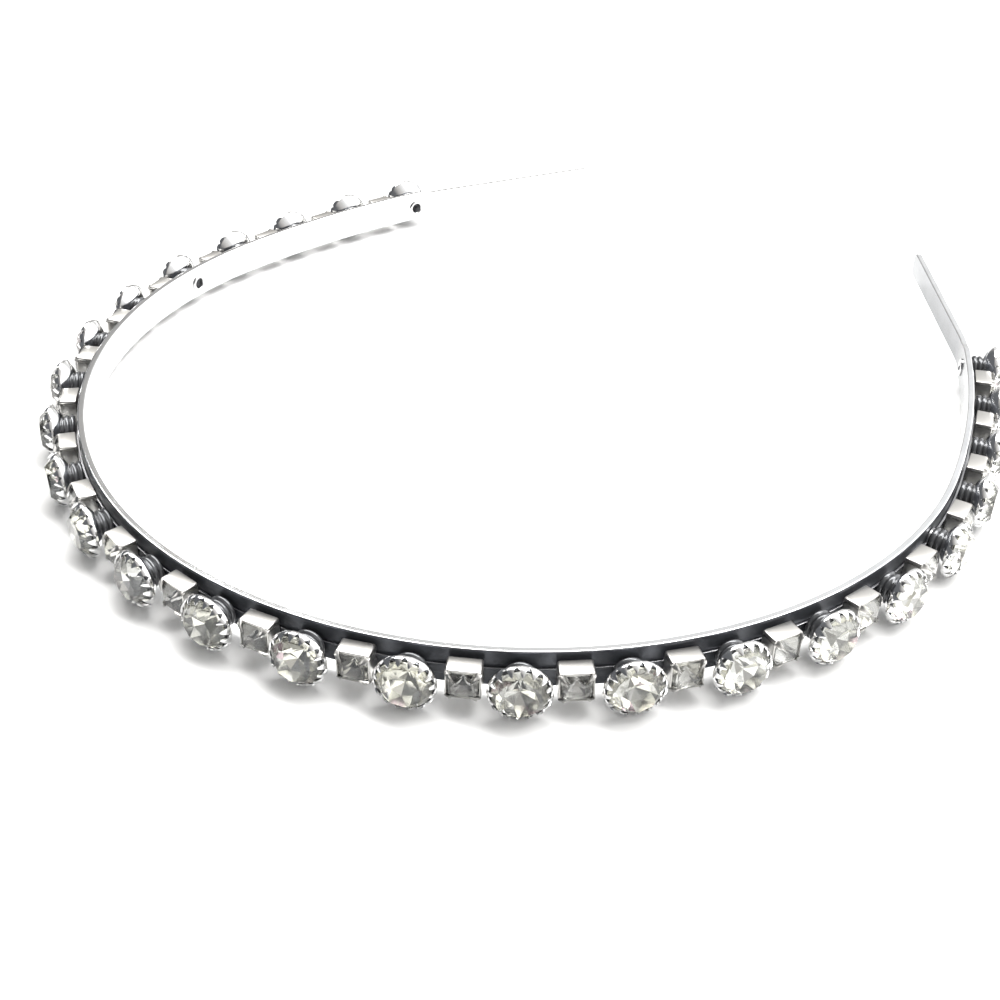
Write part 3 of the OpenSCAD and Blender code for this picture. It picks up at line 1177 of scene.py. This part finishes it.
@dataclass
class RoundSettings:
    """The round settings: a cup on two ring beads, with a crown of saw teeth."""

    shop: Workshop
    metal: MetalFinish
    row: Row = Row(
        "round_settings", Slot.ROUND_SETTING, numbered("round_setting", 25, 2), 25, turn=math.tau, seed=3
    )
    round_steps: int = 64
    back: float = 0.5
    bead_core: float = 1.75
    bead_r: float = 0.4
    beads: int = 2
    bead_angles: tuple[float, ...] = tuple(math.radians(26) * step for step in range(-3, 4))
    neck: Pair = (1.75, 2.14)
    wall: Bend = ((1.83, 2.2), (2.85, 2.45), (3.92, 3.62))
    wall_steps: int = 9
    rim_r: float = 3.95
    rim: tuple[Pair, ...] = ((3.95, 3.7), (3.92, 3.76), (3.74, 3.78), (3.72, 3.82))
    lip: tuple[Pair, ...] = ((3.7, 4.0), (3.66, 4.05), (3.6, 4.05), (3.57, 3.9))
    hollow: tuple[Pair, ...] = ((3.3, 3.5), (0.25, 1.4), (0, 1.4))
    # Share of painted shade on the beads, the lip and the hollow's bottom, and the heights and least radius
    # of the metal that has none.
    painted_shade: float = 0.93
    unshaded_z: Pair = (2.18, 3.79)
    unshaded_r: float = 1.0
    teeth: int = 16
    tooth_bend: Bend = ((3.92, 3.5), (4.12, 4.3), (3.28, 4.84))
    tooth_shares: tuple[float, ...] = (1.0, 0.96, 0.8, 0.66, 0.54, 0.44, 0.35, 0.25, 0.1)
    tooth_sheet: float = 0.2
    tooth_crown: float = 0.05

    def cup(self) -> Piece:
        """The turned cup, with the two beads behind it and the hollow for the stone."""
        profile: list[Pair] = [(0, self.back), (self.bead_core, self.back)]
        for bead in range(self.beads):
            middle = self.back + self.bead_r * (1 + 2 * bead)
            for angle in self.bead_angles:
                out, up = self.bead_r * math.cos(angle), self.bead_r * math.sin(angle)
                profile.append((self.bead_core + out, middle + up))
        profile += [self.neck, *bezier(self.wall, self.wall_steps), *self.rim, *self.lip, *self.hollow]
        cup = turned("cup", profile, self.round_steps)
        # Painted shade on the beads, the lip and the hollow's bottom.
        marks = cup.data.attributes.new(DARK, "FLOAT", "POINT")
        for vertex, mark in zip(cup.data.vertices, marks.data):
            mark.value = self.shade_share(vertex.co / MM)
        return cup

    def shade_share(self, place: Vector) -> float:
        """Share of painted shade at a point: it is on the beads, the lip and the hollow's bottom."""
        low, high = self.unshaded_z
        return 0.0 if low <= place.z <= high and place.xy.length >= self.unshaded_r else self.painted_shade

    def tooth(self) -> Piece:
        """One tooth of the crown, which leans in over the stone's edge."""
        half = self.rim_r * math.sin(math.pi / self.teeth)
        widths = [half * share for share in self.tooth_shares]
        return tongue("tooth", self.tooth_bend, widths, self.tooth_sheet, self.tooth_crown, True)

    def build(self) -> None:
        """Builds, dresses and hands over the row."""
        metal = self.metal.material()
        master = self.shop.ring(self.cup(), self.tooth(), "toothed_cup", self.teeth, 0.0, metal)
        self.shop.repeat(master, self.row, metal)


@dataclass
class RoundStones:
    """The clear round stones."""

    shop: Workshop
    finish: StoneFinish
    row: Row = Row("round_stones", Slot.CLEAR_STONE, numbered("round_stones", 5), 25, turn=math.tau, seed=8)
    radius: float = 3.5
    girdle: Pair = (3.95, 4.3)
    table_r: float = 2.35
    table: float = 5.55
    culet: float = 1.8
    step: Pair = (1.9, 2.72)
    sides: int = 8
    facet_seed: int = 5

    def master(self) -> Piece:
        """One stone: octagonal table, eight kites, a round girdle and an eight-sided point."""
        low, high = self.girdle
        scallop = (1 / math.cos(math.pi / self.sides) - 1) * (low - self.culet)
        rings = (
            (self.sides, self.table_r, self.table, 0.5),
            (2 * self.sides, self.radius, high, 0.0),
            (self.sides, self.radius, low, 0.5),
            (self.sides, self.radius, low + scallop, 0.0),
            (self.sides, *self.step, 0.0),
        )
        corners = [corner for ring in rings for corner in ring_points(*ring)]
        return faceted("round_stone", [*corners, (0.0, 0.0, self.culet)], low, self.facet_seed)

    def build(self) -> None:
        """Builds, dresses and hands over the row."""
        self.shop.repeat(self.master(), self.row, self.finish.crown(), self.finish.foil())


@dataclass
class SquareSettings:
    """The square boxes between the rounds, each with four claws."""

    shop: Workshop
    metal: MetalFinish
    row: Row = Row(
        "square_settings", Slot.SQUARE_SETTING, numbered("square_settings", 6), 24,
        lean=math.radians(1.5), seed=11,
    )
    half: float = 2.2
    corner: float = 0.3
    corner_angles: tuple[float, ...] = tuple(math.radians(22.5) * step for step in range(5))
    seam: Pair = (1.61, 1.75)
    seam_depth: float = 0.16
    # Half the width and the height of each level: first the outside with its seams, then the plain inside.
    outside: tuple[Pair, ...] = (
        (2.08, 0.5), (2.17, 0.53), (2.2, 0.6), (2.2, 2.8), (2.17, 2.93), (2.1, 2.99),
    )
    inside: tuple[Pair, ...] = ((2.0, 3.0), (2.06, 2.97), (2.03, 2.9), (2.03, 2.5), (0.5, 1.2))
    claws: int = 4
    claw_bend: Bend = ((2.84, 2.6), (3.0, 3.45), (1.6, 3.85))
    claw_widths: tuple[float, ...] = (0.28, 0.32, 0.36, 0.36, 0.32, 0.26, 0.19, 0.13, 0.06)
    claw_sheet: float = 0.2
    claw_hollow: float = 0.1

    def outline(self, half: float, depth: float, height: float) -> list[Triple]:
        """A square with round corners and two seams on each side.

        Args:
            half: Half its width.
            depth: Depth of its seams.
            height: Its height.

        Returns:
            The loop.
        """
        low, high = (edge * half / self.half for edge in self.seam)
        quarter = [(half, low), (half - depth, low), (half - depth, high), (half, high)]
        corner = min(self.corner, half / 4)
        centre = half - corner
        for angle in self.corner_angles:
            quarter.append((centre + corner * math.cos(angle), centre + corner * math.sin(angle)))
        loop = quarter + [(-x, y) for x, y in quarter[::-1]]
        loop += [(-x, -y) for x, y in quarter] + [(x, -y) for x, y in quarter[::-1]]
        return [(x, y, height) for x, y in loop]

    def box(self) -> Piece:
        """The box, with rounded lips and a hollow for the stone."""
        loops = [self.outline(half, self.seam_depth, height) for half, height in self.outside]
        loops += [self.outline(half, 0.0, height) for half, height in self.inside]
        return lofted("box", loops, SMOOTH_TURNED)

    def claw(self) -> Piece:
        """One claw, which rises at a corner and lies in over the stone."""
        return tongue("claw", self.claw_bend, self.claw_widths, self.claw_sheet, -self.claw_hollow, False)

    def build(self) -> None:
        """Builds, dresses and hands over the row."""
        metal = self.metal.material()
        master = self.shop.ring(self.box(), self.claw(), "clawed_box", self.claws, math.pi / 4, metal)
        self.shop.repeat(master, self.row, metal)


@dataclass
class SquareStones:
    """The smoky square stones."""

    shop: Workshop
    finish: StoneFinish
    row: Row = Row(
        "square_stones", Slot.SMOKY_STONE, numbered("square_stones", 6), 24, lean=math.radians(1.0), seed=21
    )
    girdle: float = 2.65
    facet_seed: int = 2
    # Half width, length cut off at the corners and height: table, step, girdle and point.
    tiers: tuple[Triple, ...] = (
        (0.8, 0.12, 3.85), (1.5, 0.35, 3.4), (1.98, 0.55, 2.8), (1.98, 0.55, 2.65), (0.12, 0.02, 1.45),
    )

    def cut_square(self, half: float, cut: float, height: float) -> list[Triple]:
        """The eight corners of a square whose own corners are cut off."""
        signs = ((1, 1), (-1, 1), (-1, -1), (1, -1))
        return [(x * a, y * b, height) for x, y in signs for a, b in ((half, half - cut), (half - cut, half))]

    def master(self) -> Piece:
        """One stone: small table, four slanted faces with a step, and a four-sided point."""
        corners = [corner for tier in self.tiers for corner in self.cut_square(*tier)]
        return faceted("square_stone", corners, self.girdle, self.facet_seed)

    def build(self) -> None:
        """Builds, dresses and hands over the row."""
        self.shop.repeat(self.master(), self.row, self.finish.crown(), self.finish.foil())


@dataclass(frozen=True)
class Floor:
    """The plain pale floor."""

    size: float = 3.0
    pale: Triple = (0.9, 0.9, 0.9)
    paler: Triple = (0.93, 0.93, 0.925)
    gloss: float = 0.2
    roughness: float = 0.7
    cloud: Pair = (12.0, 4.0)

    def build(self) -> None:
        """Builds the floor and keeps it out of the object."""
        half = self.size / 2 / MM
        corners = [(-half, -half, 0), (half, -half, 0), (half, half, 0), (-half, half, 0)]
        floor = mesh_object("floor", corners, [(0, 1, 2, 3)])
        if floor.data.polygons[0].normal.z < 0:
            floor.data.flip_normals()
        material, tree, ins = new_material("floor_paper")
        ins["Specular IOR Level"].default_value = self.gloss
        ins["Roughness"].default_value = self.roughness
        cloud = tree.noise(*self.cloud)
        tree.feed(ins["Base Color"], tree.ramp(cloud, ((0.0, self.pale), (1.0, self.paler))))
        floor.data.materials.append(material)


@dataclass(frozen=True)
class SoftBox:
    """A large soft light that faces a point of the object: a window behind and above it."""

    name: str = "window"
    place: Triple = (-0.25, 0.36, 0.90)
    target: Triple = (-0.25, 0.0, 0.0)
    size: Pair = (1.8, 0.5)
    power: float = 24.0
    colour: Triple = (1.0, 0.995, 0.98)

    def build(self) -> None:
        """Builds the light."""
        light = bpy.data.lights.new(self.name, "AREA")
        light.shape = "RECTANGLE"
        light.size, light.size_y = self.size
        light.energy = self.power
        light.color = self.colour
        lamp = bpy.data.objects.new(self.name, light)
        lamp.location = self.place
        aim = Vector(self.target) - Vector(self.place)
        lamp.rotation_euler = aim.to_track_quat("-Z", "Y").to_euler()
        bpy.context.scene.collection.objects.link(lamp)


@dataclass(frozen=True)
class Sky:
    """The light of the room: dim on the camera's side and bright towards the windows."""

    window_side: Triple = (0.55, 0.65, 0.52)
    steps: tuple[tuple[float, Triple], ...] = (
        (0.0, (0.14, 0.145, 0.155)),
        (0.32, (0.60, 0.58, 0.56)),
        (0.5, (0.76, 0.755, 0.74)),
        (0.72, (1.05, 1.05, 1.05)),
        (0.92, (2.6, 2.6, 2.6)),
    )

    def build(self) -> None:
        """Builds the world."""
        world = bpy.data.worlds.new("room")
        world.use_nodes = True
        bpy.context.scene.world = world
        tree = TreeWriter(world.node_tree)
        direction = tree.add("ShaderNodeTexCoord").outputs["Generated"]
        side = tree.vector("DOT_PRODUCT", direction, self.window_side, result="Value")
        tree.feed(world.node_tree.nodes["Background"].inputs["Color"], tree.ramp(side, self.steps))


@dataclass(frozen=True)
class Camera:
    """The camera at the photograph's viewing angle. Angles are in degrees."""

    place: Triple = (0.10425, -0.16978, 0.11726)
    lens: float = 51.10
    pitch: float = 34.623
    yaw: float = 32.986
    roll: float = 1.243
    clip: Pair = (0.01, 20.0)

    def build(self) -> None:
        """Builds the camera and makes it the scene's own."""
        pitch, yaw, roll = (math.radians(a) for a in (self.pitch, self.yaw, self.roll))
        flat = math.cos(pitch)
        forward = Vector((-math.sin(yaw) * flat, math.cos(yaw) * flat, -math.sin(pitch)))
        level = Vector((math.cos(yaw), math.sin(yaw), 0.0))
        above = level.cross(forward)
        right = math.cos(roll) * level + math.sin(roll) * above
        up = -math.sin(roll) * level + math.cos(roll) * above
        data = bpy.data.cameras.new("camera")
        data.lens = self.lens
        data.clip_start, data.clip_end = self.clip
        camera = bpy.data.objects.new("camera", data)
        turn = Matrix((right, up, -forward)).transposed().to_4x4()
        camera.matrix_world = Matrix.Translation(self.place) @ turn
        bpy.context.scene.collection.objects.link(camera)
        bpy.context.scene.camera = camera


# A finish's fourth colour and the number after it are the colour and polish of its painted shade, used where
# a mesh is marked dark.
CHROME = MetalFinish(
    "band_chrome", (0.86, 0.87, 0.88), (0.74, 0.75, 0.76), (0.05, 0.12), (0.09, 0.095, 0.107), 0.28
)
STRIP_STEEL = MetalFinish(
    "strip_steel", (0.5, 0.5, 0.51), (0.3, 0.3, 0.31), (0.15, 0.25), (0.085, 0.09, 0.1), 0.28
)
RIVET_CHROME = MetalFinish("rivet_chrome", (0.85, 0.85, 0.86), (0.6, 0.6, 0.6), (0.08, 0.2))
CUP_CHROME = MetalFinish(
    "cup_chrome", (0.9, 0.9, 0.9), (0.78, 0.78, 0.78), (0.1, 0.2), (0.07, 0.073, 0.08), 0.12
)
BOX_SATIN = MetalFinish("box_satin", (0.57, 0.56, 0.54), (0.5, 0.49, 0.47), (0.26, 0.34), (0.15, 0.15, 0.15))
CLEAR_TONES = (
    (0.0, (0.9, 0.9, 0.88)), (0.35, (0.55, 0.55, 0.53)), (0.58, (0.93, 0.92, 0.84)), (0.96, (0.7, 0.56, 0.6)),
)
CLEAR_GLASS = StoneFinish("clear_glass", (0.95, 0.955, 0.94), CLEAR_TONES, 0.16)
SMOKY_TONES = ((0.0, (0.72, 0.72, 0.70)), (0.4, (0.55, 0.55, 0.54)), (0.75, (0.92, 0.91, 0.84)))
SMOKY_GLASS = StoneFinish("smoky_glass", (0.86, 0.86, 0.85), SMOKY_TONES, 0.22)


def main() -> None:
    """Builds the stage and every sub-assembly in order."""
    logging.basicConfig(level=logging.INFO, format="%(message)s")
    for part in (Camera(), Floor(), Sky(), SoftBox()):
        part.build()
    bpy.context.scene.view_settings.view_transform = "Standard"
    place = PlaceTree()
    shop = Workshop(BandCurve(), RowTree(place), CrownTree(), StripTree(place))
    rivets = RivetPlaces()
    for part in (
        SpringBand(shop, rivets, CHROME, STRIP_STEEL),
        HollowRivets(shop, rivets, RIVET_CHROME),
        RoundSettings(shop, CUP_CHROME),
        RoundStones(shop, CLEAR_GLASS),
        SquareSettings(shop, BOX_SATIN),
        SquareStones(shop, SMOKY_GLASS),
    ):
        part.build()


if __name__ == "__main__":
    main()
